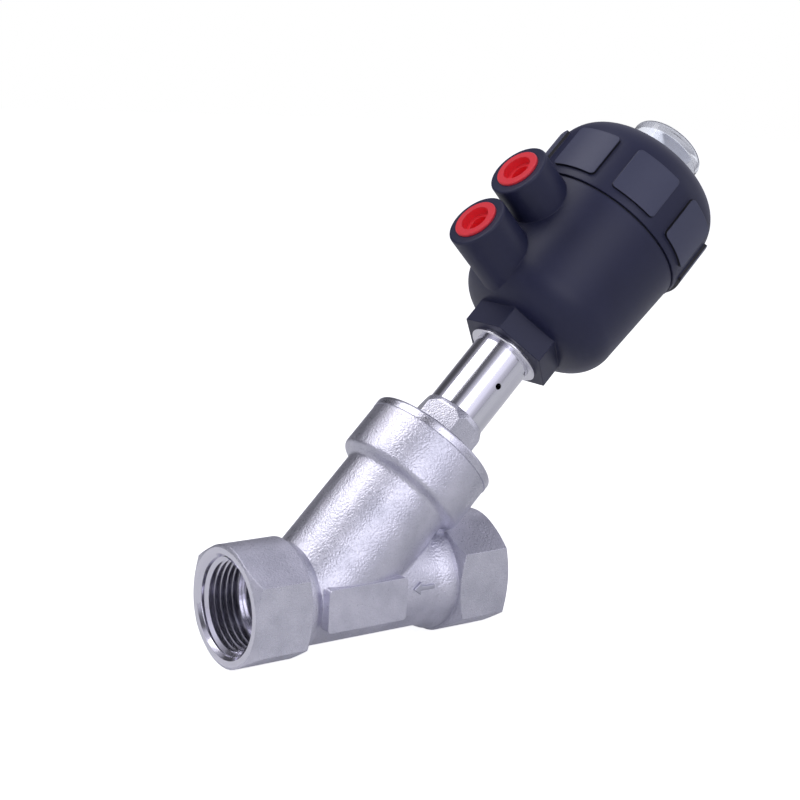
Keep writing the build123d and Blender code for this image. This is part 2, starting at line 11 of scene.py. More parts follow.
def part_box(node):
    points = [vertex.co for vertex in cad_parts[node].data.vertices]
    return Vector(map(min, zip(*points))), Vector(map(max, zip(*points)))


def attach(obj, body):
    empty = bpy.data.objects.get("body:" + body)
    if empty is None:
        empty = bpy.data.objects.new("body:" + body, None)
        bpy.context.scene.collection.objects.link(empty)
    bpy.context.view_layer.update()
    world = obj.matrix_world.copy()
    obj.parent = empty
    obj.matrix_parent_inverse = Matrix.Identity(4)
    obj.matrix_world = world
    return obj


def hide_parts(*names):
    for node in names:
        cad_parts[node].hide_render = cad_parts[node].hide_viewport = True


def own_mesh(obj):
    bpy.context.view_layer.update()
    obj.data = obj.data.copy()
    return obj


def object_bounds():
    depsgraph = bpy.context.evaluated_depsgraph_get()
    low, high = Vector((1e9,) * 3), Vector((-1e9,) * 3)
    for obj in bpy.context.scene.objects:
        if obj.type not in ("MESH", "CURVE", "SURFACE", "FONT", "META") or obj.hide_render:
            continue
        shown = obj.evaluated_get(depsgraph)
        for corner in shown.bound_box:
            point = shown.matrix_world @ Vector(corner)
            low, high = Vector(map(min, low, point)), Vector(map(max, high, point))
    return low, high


bl_info = {
    "name": "Angle seat valve looks",
    "version": (1, 0, 0),
    "blender": (4, 5, 0),
    "location": "3D View > Sidebar > Valve",
    "description": "Dresses the packed angle seat valve and sets its stage",
    "category": "Object",
}

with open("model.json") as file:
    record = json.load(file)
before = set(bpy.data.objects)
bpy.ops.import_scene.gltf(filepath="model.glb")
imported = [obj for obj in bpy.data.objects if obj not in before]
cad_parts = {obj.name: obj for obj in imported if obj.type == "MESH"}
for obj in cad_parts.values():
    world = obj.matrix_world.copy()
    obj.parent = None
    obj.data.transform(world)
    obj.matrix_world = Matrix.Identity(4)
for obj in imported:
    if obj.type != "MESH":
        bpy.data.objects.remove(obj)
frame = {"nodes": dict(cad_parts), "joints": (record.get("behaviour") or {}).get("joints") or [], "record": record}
cad_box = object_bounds()
joints = {joint["name"]: joint for joint in frame["joints"]}

STEM_FOOT = Vector(joints["actuator_swivel"]["pos_m"])
STEM_UP = Vector(joints["actuator_swivel"]["axis"]).normalized()
STEM_SIDE = Vector((-STEM_UP.z, 0.0, STEM_UP.x))
STEM_FRONT = STEM_UP.cross(STEM_SIDE)
# local x is the stem's upper side, y its front, z its direction
STEM_FRAME = Matrix.Translation(STEM_FOOT) @ Matrix(
    (STEM_SIDE, STEM_FRONT, STEM_UP)
).transposed().to_4x4()

# ------------------------------------------------- places on the CAD, in metres
BORE_RADIUS = 0.0166
MOUTH_CUT = 0.0012
# the cut metal of the bores, with the cones at their mouths
CUT_RADIUS = 0.0179
CUT_DEPTH = 0.0175
# the upright flats of the two hexagon ends
FLAT_FROM = 0.0203
BOSS_DEPTH = 0.0222
# the cap's radius where a grip pad's wall and its face begin and are full: the walls get painted shade, and the
# faces a lighter colour that is partly a painted highlight
PAD_WALL = (0.03315, 0.0333)
PAD_FACE = (0.0341, 0.0342)
# depth within which a point lies on an end face
FACE_SKIN = 0.00003
# how near a vertex is to a bore's rim, along the pipe and across it
RIM_DEPTH = 0.00001
RIM_WIDTH = 0.00005
# distance within which vertices are merged, in a CAD node and in a screwed outline
NODE_MERGE = 0.000002
SCREW_MERGE = 0.000001

# ------------------------------------------------------------- finish settings
WHITE = (1, 1, 1, 1)
# height of the finest relief: tool marks, and the grain of mouldings
SCRATCH = 0.00001
SPARK = 0.00002
SMOOTH_ANGLE = radians(32)

# finishes of the parts inside: name, colour, roughness, metallic
HIDDEN_FINISHES = (
    ("seal_ptfe", (0.82, 0.82, 0.79, 1), 0.45, 0.0),
    ("seal_rubber", (0.02, 0.02, 0.022, 1), 0.55, 0.0),
    ("bearing_plastic", (0.16, 0.13, 0.10, 1), 0.5, 0.0),
    ("piston_plastic", (0.05, 0.05, 0.055, 1), 0.45, 0.0),
    ("indicator_orange", (0.80, 0.13, 0.01, 1), 0.4, 0.0),
    ("spring_steel", (0.42, 0.42, 0.45, 1), 0.3, 1.0),
)

# -------------------------------------------------------------- stage settings
# name, place from the valve's middle, sides, power in watts, colour
LAMPS = (
    ("key", (-0.46, 0.28, 0.84), (0.68, 0.75), 3.6, (1.0, 0.99, 0.99)),
    ("front_fill", (-0.45, -1.15, 0.6), (1.0, 0.9), 2.9, (0.97, 0.98, 1.0)),
    ("side_fill", (0.95, -0.75, 0.35), (0.6, 0.9), 0.8, (0.95, 0.96, 1.0)),
)
# brightness of the studio's cards by the angle around the stem, in degrees
CARDS = (
    (-180, 0.50), (-120, 0.46), (-97, 0.22), (-80, 0.08), (-58, 0.08), (-44, 0.35),
    (-20, 0.8), (4, 0.6), (13, 0.12), (24, 0.14), (36, 0.5), (52, 1.0), (70, 1.1),
    (86, 1.0), (104, 0.55), (125, 0.42), (180, 0.50),
)
CARD_TINT = (0.97, 0.96, 1.1)
# the even part of the surround, nearer the stem's direction than these cosines
POLE_FROM, POLE_FULL = 0.55, 0.85
POLE_COLOUR = (0.62, 0.62, 0.70, 1)
# the surround as dull surfaces and as the clear dome see it
DULL_SKY = (0.25, 0.255, 0.29, 1)
CLEAR_SKY = (0.95, 0.96, 1.0, 1)
# glow of the floor, seen straight and seen in the metal
FLOOR_SEEN = 0.84
FLOOR_MIRRORED = 0.10
FLOOR_GAP = 0.0002
SENSOR_WIDTH = 36.0
CLIP_START = 0.01


# ------------------------------------------------------------------ properties
def length(name, description, default):
    """A length in metres."""
    return FloatProperty(name=name, description=description, default=default, unit="LENGTH")


def angle(name, description, degrees):
    """An angle, given in degrees."""
    return FloatProperty(
        name=name, description=description, default=radians(degrees), unit="ROTATION"
    )


def colour(name, description, red, green, blue):
    """An opaque colour."""
    return FloatVectorProperty(
        name=name, description=description, subtype="COLOR", size=4,
        default=(red, green, blue, 1),
    )


class ThreadSizes(bpy.types.PropertyGroup):
    """Sizes of the pipe threads in both ends."""

    pitch: length("Pitch", "Rise of one turn", 0.002309)
    root: length("Root", "Radius of the ridge's foot, inside the bore's wall", 0.01668)
    crest: length("Crest", "Radius of the ridge's crest", 0.01516)
    crest_flat: length("Crest flat", "Width of the crest", 0.00026)
    root_width: length("Root width", "Width of the ridge's root", 0.00205)
    start: length("Start", "Depth of the first ridge", 0.0016)
    recess: length("Recess", "Depth kept free behind the end face", 0.0002)
    mouth: length("Mouth", "Radius of the mouth cone at the face", 0.01785)
    turns: IntProperty(name="Turns", description="Turns in each end", default=6)
    steps: IntProperty(name="Steps", description="Steps in one turn", default=72)


class ArrowSizes(bpy.types.PropertyGroup):
    """Sizes of the raised flow arrow on the inlet neck."""

    tip: length("Tip", "Where the arrow points to along the pipe", 0.0645)
    tail: length("Tail", "Where the shaft ends along the pipe", 0.0735)
    height: length("Height", "Height of its middle line", 0.0015)
    head: length("Head", "Length of the head", 0.0032)
    half_head: length("Half head", "Half width of the head", 0.0024)
    half_shaft: length("Half shaft", "Half width of the shaft", 0.0008)
    proud: length("Proud", "How far it stands off the neck", 0.0008)
    sunk: length("Sunk", "How far it reaches into the neck", 0.001)
    edge: length("Edge", "Width of its rounded edges", 0.00034)


class FinishColours(bpy.types.PropertyGroup):
    """Colours of the valve's finishes."""

    steel_light: colour("Steel, light", "Raised grain of the casting", 0.72, 0.71, 0.80)
    steel_dark: colour("Steel, dark", "Pits of the casting", 0.53, 0.53, 0.61)
    turned_steel: colour("Turned steel", "Machined faces", 0.75, 0.74, 0.82)
    polished_steel: colour("Polished steel", "Spacer tube and collar", 0.80, 0.80, 0.84)
    actuator: colour("Actuator", "Moulded housing and cap", 0.018, 0.020, 0.055)
    # the pads' own colour, lightened as a painted highlight for the light their faces catch
    grip_pads_and_highlight: colour("Grip pads", "Dulled pads around the cap", 0.072, 0.077, 0.137)
    # painted shade: a near black for the pads' side walls, standing in for the shade in their corners
    pad_wall_shade: colour("Pad walls", "Shaded sides of the grip pads", 0.002, 0.002, 0.006)
    plug: colour("Dust plug", "Soft red plastic", 0.98, 0.046, 0.068)
    dome: colour("Sight dome", "Clear plastic", 0.92, 0.94, 1.0)


class StageSizes(bpy.types.PropertyGroup):
    """Camera and floor."""

    camera_place: FloatVectorProperty(
        name="Camera", description="Place of the camera", subtype="TRANSLATION", unit="LENGTH",
        default=(-0.27213, -0.44828, 0.17931),
    )
    azimuth: angle("Azimuth", "Turn of the view about the vertical", -37.17)
    elevation: angle("Elevation", "Height angle of the view", 11.58)
    roll: angle("Roll", "Tilt of the picture", 3.13)
    lens: FloatProperty(name="Lens", description="Focal length in millimetres", default=75.15)
    floor_size: length("Floor", "Side of the floor", 8.0)


# ------------------------------------------------------------- modelling tools
def select_only(piece):
    """Leave object mode's selection on one piece."""
    bpy.ops.object.select_all(action="DESELECT")
    piece.select_set(True)
    bpy.context.view_layer.objects.active = piece


def copied_node(node, name, smooth_angle=SMOOTH_ANGLE):
    """Copy a CAD node's mesh into a piece of its own, merged and smoothly shaded."""
    piece = bpy.data.objects.new(name, frame["nodes"][node].data.copy())
    piece.data.name = name
    bpy.context.scene.collection.objects.link(piece)
    select_only(piece)
    bpy.ops.object.mode_set(mode="EDIT")
    bpy.ops.mesh.select_all(action="SELECT")
    bpy.ops.mesh.remove_doubles(threshold=NODE_MERGE)
    bpy.ops.object.mode_set(mode="OBJECT")
    if piece.data.has_custom_normals:
        bpy.ops.mesh.customdata_custom_splitnormals_clear()
    bpy.ops.object.shade_smooth_by_angle(angle=smooth_angle)
    return piece


def settle(piece, body, material, replaced=()):
    """Put a finished piece's place into its mesh, give it its finish and let it ride."""
    select_only(piece)
    bpy.ops.object.transform_apply(location=True, rotation=True, scale=True)
    piece.data.materials.clear()
    piece.data.materials.append(material)
    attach(piece, body)
    if replaced:
        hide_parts(*replaced)
    return piece


def section_piece(name, places):
    """Lay a closed outline of vertices down as a new piece with no face."""
    bpy.ops.object.select_all(action="DESELECT")
    bpy.ops.mesh.primitive_circle_add(vertices=len(places), fill_type="NOTHING")
    piece = bpy.context.object
    piece.name = piece.data.name = name
    for vertex, place in zip(piece.data.vertices, places):
        vertex.co = place
    return piece


def screwed(piece, axis, rise, turns, steps):
    """Screw an outline about an axis and close both of its ends."""
    select_only(piece)
    screw = piece.modifiers.new("screw", "SCREW")
    screw.axis = axis
    screw.screw_offset = rise
    screw.iterations = turns
    screw.steps = screw.render_steps = steps
    screw.use_merge_vertices = True
    screw.merge_threshold = SCREW_MERGE
    bpy.ops.object.modifier_apply(modifier=screw.name)
    bpy.ops.object.mode_set(mode="EDIT")
    bpy.ops.mesh.select_mode(type="EDGE")
    bpy.ops.mesh.select_all(action="DESELECT")
    bpy.ops.mesh.select_non_manifold()
    bpy.ops.mesh.fill()
    bpy.ops.mesh.select_all(action="SELECT")
    bpy.ops.mesh.normals_make_consistent(inside=False)
    bpy.ops.object.mode_set(mode="OBJECT")


# ------------------------------------------------------------- shader building
def add_node(tree, kind, links=None, **settings):
    """Add a node, set its properties, and fill or link the sockets named in links."""
    node = tree.nodes.new(kind)
    for label, value in settings.items():
        setattr(node, label, value)
    for socket, value in (links or {}).items():
        feed(tree, value, node.inputs[socket])
    return node


def feed(tree, value, socket):
    """Link a socket to another node's output, or set it to a constant."""
    if isinstance(value, bpy.types.NodeSocket):
        tree.links.new(value, socket)
    else:
        socket.default_value = value


def noise(tree, vector, scale, detail=2.0, roughness=0.5):
    """Fractal noise, its middle near one half."""
    return add_node(
        tree, "ShaderNodeTexNoise",
        links={"Vector": vector, "Scale": scale, "Detail": detail, "Roughness": roughness},
    ).outputs["Fac"]


def calc(tree, operation, first, second=0.0, third=0.0):
    """One step of arithmetic."""
    return add_node(
        tree, "ShaderNodeMath", operation=operation, links={0: first, 1: second, 2: third}
    ).outputs[0]


def dot(tree, vector, way):
    """How far a vector reaches along a fixed direction."""
    return add_node(
        tree, "ShaderNodeVectorMath", operation="DOT_PRODUCT", links={0: vector, 1: tuple(way)}
    ).outputs["Value"]


def split(tree, vector):
    """The x, y and z of a vector."""
    return add_node(tree, "ShaderNodeSeparateXYZ", links={0: vector}).outputs


def reach(tree, first, second):
    """Length of the hypotenuse over two coordinates."""
    squares = calc(tree, "MULTIPLY_ADD", first, first, calc(tree, "MULTIPLY", second, second))
    return calc(tree, "SQRT", squares)


def remap(tree, value, low, high, to_low=0.0, to_high=1.0):
    """Stretch a value from one range to another, kept inside it."""
    return add_node(
        tree, "ShaderNodeMapRange",
        links={
            "Value": value, "From Min": low, "From Max": high,
            "To Min": to_low, "To Max": to_high,
        },
    ).outputs["Result"]


def mixed(tree, share, first, second):
    """Mix two colours."""
    # sockets 6 and 7 are the node's two colours, and output 2 is their mix
    return add_node(
        tree, "ShaderNodeMix", data_type="RGBA", links={0: share, 6: first, 7: second}
    ).outputs[2]


def new_effect(name, **inputs):
    """Start a shared effect: a vector and named values in, a height, tone and roughness out."""
    group = bpy.data.node_groups.new(name, "ShaderNodeTree")
    group.interface.new_socket("Vector", in_out="INPUT", socket_type="NodeSocketVector")
    for label, value in inputs.items():
        socket = group.interface.new_socket(label, in_out="INPUT", socket_type="NodeSocketFloat")
        socket.default_value = value
    for label in ("Height", "Tone", "Roughness"):
        group.interface.new_socket(label, in_out="OUTPUT", socket_type="NodeSocketFloat")
    return (
        group,
        group.nodes.new("NodeGroupInput").outputs,
        group.nodes.new("NodeGroupOutput").inputs,
    )


def cast_grain_group():
    """Sandy skin of a blasted investment casting: height, and a light and dark mask."""
    group, given, result = new_effect("cast_grain", Grain=1900.0, Cloud=90.0)
    vector = given["Vector"]
    fine = noise(group, vector, given["Grain"], 3.0, 0.6)
    pebbles = add_node(
        group, "ShaderNodeTexVoronoi", feature="SMOOTH_F1",
        links={
            "Vector": vector,
            "Scale": calc(group, "MULTIPLY", given["Grain"], 0.75),
            "Smoothness": 0.35,
        },
    ).outputs["Distance"]
    cloud = noise(group, vector, given["Cloud"], 3.0)
    # the last step centres the height on nought, so a mask can fade it to a flat face
    raised = calc(group, "MULTIPLY_ADD", pebbles, -0.9, fine)
    feed(group, calc(group, "SUBTRACT", raised, 0.1), result["Height"])
    tone = calc(group, "MULTIPLY_ADD", cloud, 0.8, calc(group, "MULTIPLY", fine, 0.35))
    feed(group, remap(group, tone, 0.38, 0.76), result["Tone"])
    feed(group, remap(group, fine, 0.35, 0.65, 0.27, 0.41), result["Roughness"])
    return group


def moulded_grain_group():
    """Fine spark texture of a moulded plastic face, with faint handling marks."""
    group, given, result = new_effect(
        "moulded_grain", Grain=5200.0, Handling=38.0, Roughness=0.42
    )
    vector = given["Vector"]
    fine = noise(group, vector, given["Grain"], 1.0)
    handled = noise(group, vector, given["Handling"], 4.0, 0.6)
    feed(group, fine, result["Height"])
    feed(group, remap(group, handled, 0.3, 0.75), result["Tone"])
    uneven = calc(group, "SUBTRACT", handled, 0.5)
    rough = calc(group, "MULTIPLY_ADD", uneven, 0.16, given["Roughness"])
    feed(group, rough, result["Roughness"])
    return group


def drawn_streaks_group():
    """Streaks and rings left on a turned or drawn surface, along and about local Z."""
    group, given, result = new_effect(
        "drawn_streaks", Along=60.0, Across=1600.0, Cloud=70.0, Roughness=0.2
    )
    x, y, z = split(group, given["Vector"])
    stretched = add_node(
        group, "ShaderNodeCombineXYZ",
        links={
            0: calc(group, "MULTIPLY", x, given["Across"]),
            1: calc(group, "MULTIPLY", y, given["Across"]),
            2: calc(group, "MULTIPLY", z, given["Along"]),
        },
    ).outputs[0]
    streak = noise(group, stretched, 1.0)
    cloud = noise(group, given["Vector"], given["Cloud"], 3.0)
    feed(group, streak, result["Height"])
    tone = calc(group, "MULTIPLY_ADD", cloud, 0.7, streak)
    feed(group, remap(group, tone, 0.55, 1.15), result["Tone"])
    uneven = calc(group, "SUBTRACT", streak, 0.5)
    rough = calc(group, "MULTIPLY_ADD", uneven, 0.25, given["Roughness"])
    feed(group, rough, result["Roughness"])
    return group


def new_material(name, base, metallic, roughness, **sockets):
    """Start a material with its own Principled shader: the material, its tree and the sockets."""
    material = bpy.data.materials.new(name)
    material.use_nodes = True
    shader = material.node_tree.nodes["Principled BSDF"].inputs
    shader["Base Color"].default_value = base
    shader["Metallic"].default_value = metallic
    shader["Roughness"].default_value = roughness
    for label, value in sockets.items():
        shader[label.replace("_", " ")].default_value = value
    return material, material.node_tree, shader


def object_vector(tree, place=None):
    """Object coordinates, moved into a frame of their own where place is given."""
    vector = add_node(tree, "ShaderNodeTexCoord").outputs["Object"]
    if place is None:
        return vector
    turn = place.to_3x3().transposed()
    return add_node(
        tree, "ShaderNodeMapping",
        links={
            "Vector": vector,
            "Location": -(turn @ place.translation),
            "Rotation": turn.to_euler(),
        },
    ).outputs[0]


def placed(tree, group, vector, **values):
    """Place a shared effect in a material with its own values."""
    links = {"Vector": vector, **values}
    return add_node(tree, "ShaderNodeGroup", node_tree=group, links=links).outputs


def bumped(tree, shader, height, distance, strength, edge=0.0):
    """Feed a height to the shader's normal, over corners rounded by edge."""
    bump = add_node(
        tree, "ShaderNodeBump",
        links={"Height": height, "Distance": distance, "Strength": strength},
    )
    if edge:
        rounded = add_node(tree, "ShaderNodeBevel", samples=6, links={"Radius": edge})
        feed(tree, rounded.outputs[0], bump.inputs["Normal"])
    feed(tree, bump.outputs[0], shader["Normal"])


def pipe_masks(tree, vector):
    """Masks of the smooth faces: the upright flats, and the end faces with their bores."""
    x, y, z = split(tree, vector)
    low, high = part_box("valve_body")
    middle = 0.5 * (high.x - low.x)
    from_middle = calc(tree, "ABSOLUTE", calc(tree, "SUBTRACT", x, middle))
    on_flat = calc(tree, "GREATER_THAN", calc(tree, "ABSOLUTE", y), FLAT_FROM)
    on_boss = calc(tree, "GREATER_THAN", from_middle, middle - BOSS_DEPTH)
    in_bore = calc(
        tree, "MULTIPLY",
        calc(tree, "LESS_THAN", reach(tree, y, z), CUT_RADIUS),
        calc(tree, "GREATER_THAN", from_middle, middle - CUT_DEPTH),
    )
    on_face = calc(tree, "GREATER_THAN", from_middle, middle - FACE_SKIN)
    return calc(tree, "MULTIPLY", on_flat, on_boss), calc(tree, "MAXIMUM", in_bore, on_face)


def proud_mask(tree, low, high):
    """Mask of what stands further from the stem axis than low, full at high."""
    x, y, z = split(tree, object_vector(tree, STEM_FRAME))
    return remap(tree, reach(tree, y, x), low, high)


# -------------------------------------------------------------------- finishes
def cast_finish(colours, cast):
    """Blasted casting with machined flats, faces and bores."""
    light, dark = tuple(colours.steel_light), tuple(colours.steel_dark)
    material, tree, shader = new_material("cast_stainless", light, 1.0, 0.4)
    vector = object_vector(tree)
    grain = placed(tree, cast, vector)
    flat, cut = pipe_masks(tree, vector)
    skin = mixed(tree, grain["Tone"], dark, light)
    feed(tree, mixed(tree, cut, skin, tuple(colours.turned_steel)), shader["Base Color"])
    # cut metal shines more, and the flats keep a little of the grain
    rough = calc(tree, "MULTIPLY_ADD", flat, -0.08, grain["Roughness"])
    feed(tree, calc(tree, "MULTIPLY_ADD", cut, -0.2, rough), shader["Roughness"])
    smooth = calc(tree, "MAXIMUM", calc(tree, "MULTIPLY", flat, 0.82), cut)
    height = calc(tree, "MULTIPLY", grain["Height"], calc(tree, "SUBTRACT", 1.0, smooth))
    bumped(tree, shader, height, distance=0.00016, strength=0.9, edge=0.0004)
    return material


def satin_finish(colours, cast):
    """Turned and blasted steel of the bonnet."""
    dark, turned = tuple(colours.steel_dark), tuple(colours.turned_steel)
    material, tree, shader = new_material("satin_stainless", turned, 1.0, 0.34)
    grain = placed(tree, cast, object_vector(tree, STEM_FRAME), Grain=2400.0)
    feed(tree, mixed(tree, grain["Tone"], dark, turned), shader["Base Color"])
    feed(tree, calc(tree, "SUBTRACT", grain["Roughness"], 0.08), shader["Roughness"])
    bumped(tree, shader, grain["Height"], distance=0.00006, strength=0.5, edge=0.0003)
    return material


def arrow_finish(colours, cast):
    """Worn steel of the raised arrow."""
    dark = tuple(colours.steel_dark)
    material, tree, shader = new_material("arrow_stainless", dark, 1.0, 0.3)
    grain = placed(tree, cast, object_vector(tree), Grain=3000.0)
    feed(tree, grain["Roughness"], shader["Roughness"])
    bumped(tree, shader, grain["Height"], distance=SPARK, strength=0.3)
    return material


def polished_finish(colours, drawn):
    """Polished tube, with faint streaks along it."""
    turned, polished = tuple(colours.turned_steel), tuple(colours.polished_steel)
    material, tree, shader = new_material("polished_stainless", polished, 1.0, 0.12)
    vector = object_vector(tree, STEM_FRAME)
    streaks = placed(tree, drawn, vector, Along=40.0, Across=1500.0, Roughness=0.13)
    feed(tree, mixed(tree, streaks["Tone"], turned, polished), shader["Base Color"])
    feed(tree, streaks["Roughness"], shader["Roughness"])
    bumped(tree, shader, streaks["Height"], distance=SCRATCH, strength=0.12)
    return material


def turned_finish(name, colours, drawn, place, along, across, roughness, strength, edge=0.0):
    """Bright cut steel, its marks along or about local Z of the place."""
    material, tree, shader = new_material(name, tuple(colours.turned_steel), 1.0, roughness)
    vector = object_vector(tree, place)
    streaks = placed(tree, drawn, vector, Along=along, Across=across, Roughness=roughness)
    feed(tree, streaks["Roughness"], shader["Roughness"])
    bumped(tree, shader, streaks["Height"], SCRATCH, strength, edge)
    return material


def shaded(tone, share):
    """A colour with each channel times a share."""
    return tuple(share * channel for channel in tone[:3]) + (1,)


def actuator_finish(name, colours, moulded, edge, padded):
    """Moulded plastic; where it is padded, painted shade on the grip pads' walls and a painted highlight
    lightening their faces.
    """
    dark = tuple(colours.actuator)
    material, tree, shader = new_material(name, dark, 0.0, 0.42, Specular_IOR_Level=0.36)
    grain = placed(tree, moulded, object_vector(tree))
    tint = mixed(tree, grain["Tone"], dark, shaded(dark, 1.25))
    if padded:
        # painted shade on the pads' side walls
        tint = mixed(tree, proud_mask(tree, *PAD_WALL), tint, tuple(colours.pad_wall_shade))
        # the pads' faces: their own colour with a painted highlight
        tint = mixed(tree, proud_mask(tree, *PAD_FACE), tint, tuple(colours.grip_pads_and_highlight))
    feed(tree, tint, shader["Base Color"])
    feed(tree, grain["Roughness"], shader["Roughness"])
    bumped(tree, shader, grain["Height"], distance=SPARK, strength=0.25, edge=edge)
    return material


def plug_finish(colours, moulded):
    """Soft plastic of the dust plugs, which lets a little light in."""
    material, tree, shader = new_material(
        "plug_red", tuple(colours.plug), 0.0, 0.35,
        Subsurface_Weight=0.08, Subsurface_Scale=0.001,
    )
    grain = placed(tree, moulded, object_vector(tree), Grain=2400.0, Roughness=0.34)
    feed(tree, grain["Roughness"], shader["Roughness"])
    bumped(tree, shader, grain["Height"], distance=SPARK, strength=0.15, edge=0.0002)
    return material


def dome_finish(colours, moulded):
    """Clear plastic of the sight dome, slightly wavy."""
    material, tree, shader = new_material(
        "clear_dome", tuple(colours.dome), 0.0, 0.03, Transmission_Weight=1.0, IOR=1.5
    )
    grain = placed(tree, moulded, object_vector(tree))
    bumped(tree, shader, grain["Tone"], distance=0.0001, strength=0.15, edge=0.0004)
    return material


def hidden_finish(name, tone, roughness, metallic, moulded):
    """Plain finish of a part inside."""
    material, tree, shader = new_material(name, tone, metallic, roughness)
    grain = placed(tree, moulded, object_vector(tree), Grain=2000.0, Roughness=roughness)
    feed(tree, mixed(tree, grain["Tone"], shaded(tone, 0.8), tone), shader["Base Color"])
    feed(tree, grain["Roughness"], shader["Roughness"])
    bumped(tree, shader, grain["Height"], distance=SPARK, strength=0.2)
    return material


def make_finishes():
    """Build every finish once, by name."""
    colours = bpy.context.scene.valve_colours
    cast, moulded, drawn = cast_grain_group(), moulded_grain_group(), drawn_streaks_group()
    made = {
        "cast": cast_finish(colours, cast),
        "satin": satin_finish(colours, cast),
        "arrow": arrow_finish(colours, cast),
        "polished": polished_finish(colours, drawn),
        "bright": turned_finish(
            "bright_stainless", colours, drawn, STEM_FRAME,
            along=4200.0, across=60.0, roughness=0.22, strength=0.25, edge=0.00015,
        ),
        "thread": turned_finish(
            "cut_thread", colours, drawn, None,
            along=300.0, across=900.0, roughness=0.2, strength=0.2,
        ),
        "actuator_plastic": actuator_finish(
            "actuator_plastic", colours, moulded, edge=0.0006, padded=False
        ),
        "cap_plastic": actuator_finish(
            "cap_plastic", colours, moulded, edge=0.0005, padded=True
        ),
        "plug": plug_finish(colours, moulded),
        "dome": dome_finish(colours, moulded),
    }
    for name, tone, roughness, metallic in HIDDEN_FINISHES:
        made[name] = hidden_finish(name, tone, roughness, metallic, moulded)
    return made


finishes = {}


# ------------------------------------------------------------------- operators
class VALVE_OT_finishes(bpy.types.Operator):
    """Build the finishes and give each CAD node its own"""

    bl_idname = "valve.finishes"
    bl_label = "Finishes"

    def execute(self, context):
        finishes.update(make_finishes())
        # slots whose finish goes by another name
        by_slot = {
            "cast_stainless": "cast",
            "satin_stainless": "satin",
            "polished_tube": "polished",
            "bright_stainless": "bright",
            "clear_dome": "dome",
            "plug_red": "plug",
        }
        for part in frame["record"]["subparts"]:
            slot = part["material_slot"]
            node = frame["nodes"][part["node"]]
            node.data.materials.clear()
            node.data.materials.append(finishes[by_slot.get(slot, slot)])
        return {"FINISHED"}


class VALVE_OT_body(bpy.types.Operator):
    """Dress the cast valve body"""

    bl_idname = "valve.body"
    bl_label = "Cast body"

    def execute(self, context):
        body = copied_node("valve_body", "cast_body")
        self.break_mouths(body)
        settle(body, "valve", finishes["cast"], ["valve_body"])
        return {"FINISHED"}

    @staticmethod
    def break_mouths(body):
        """Cut a cone at the mouth of each threaded end, where the thread runs out."""
        low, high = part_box("valve_body")
        select_only(body)
        bpy.ops.object.mode_set(mode="EDIT")
        bpy.ops.mesh.select_mode(type="EDGE")
        bpy.ops.mesh.select_all(action="DESELECT")
        bpy.ops.object.mode_set(mode="OBJECT")
        rim = {
            vertex.index for vertex in body.data.vertices
            if min(vertex.co.x - low.x, high.x - vertex.co.x) < RIM_DEPTH
            and abs(hypot(vertex.co.y, vertex.co.z) - BORE_RADIUS) < RIM_WIDTH
        }
        for edge in body.data.edges:
            edge.select = set(edge.vertices) <= rim
        bpy.ops.object.mode_set(mode="EDIT")
        bpy.ops.mesh.bevel(offset=MOUTH_CUT, offset_type="OFFSET", segments=1)
        bpy.ops.object.mode_set(mode="OBJECT")
        bpy.ops.object.shade_smooth_by_angle(angle=SMOOTH_ANGLE)


class VALVE_OT_threads(bpy.types.Operator):
    """Cut the pipe threads in both ends"""

    bl_idname = "valve.threads"
    bl_label = "Pipe threads"

    def execute(self, context):
        sizes = context.scene.valve_threads
        low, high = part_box("valve_body")
        outline = [
            (sizes.start - sizes.root_width / 2, 0, sizes.root),
            (sizes.start - sizes.crest_flat / 2, 0, sizes.crest),
            (sizes.start + sizes.crest_flat / 2, 0, sizes.crest),
            (sizes.start + sizes.root_width / 2, 0, sizes.root),
        ]
        for name, face, inwards in (("thread_outlet", low.x, 1), ("thread_inlet", high.x, -1)):
            ridge = section_piece(name, outline)
            screwed(ridge, "X", sizes.pitch, sizes.turns, sizes.steps)
            self.place(ridge, face, inwards, sizes)
            select_only(ridge)
            bpy.ops.object.shade_smooth_by_angle(angle=radians(40))
            settle(ridge, "valve", finishes["thread"])
        return {"FINISHED"}

    @staticmethod
    def place(ridge, face, inwards, sizes):
        """Move a ridge into its end, and let it fade into the cone at the mouth."""
        for vertex in ridge.data.vertices:
            depth = vertex.co.x
            radius = hypot(vertex.co.y, vertex.co.z)
            turn = atan2(vertex.co.z, vertex.co.y)
            radius = max(radius, min(sizes.root, sizes.mouth - depth))
            vertex.co.y = radius * cos(turn)
            vertex.co.z = radius * sin(turn) * inwards
            vertex.co.x = face + inwards * max(depth, sizes.recess)


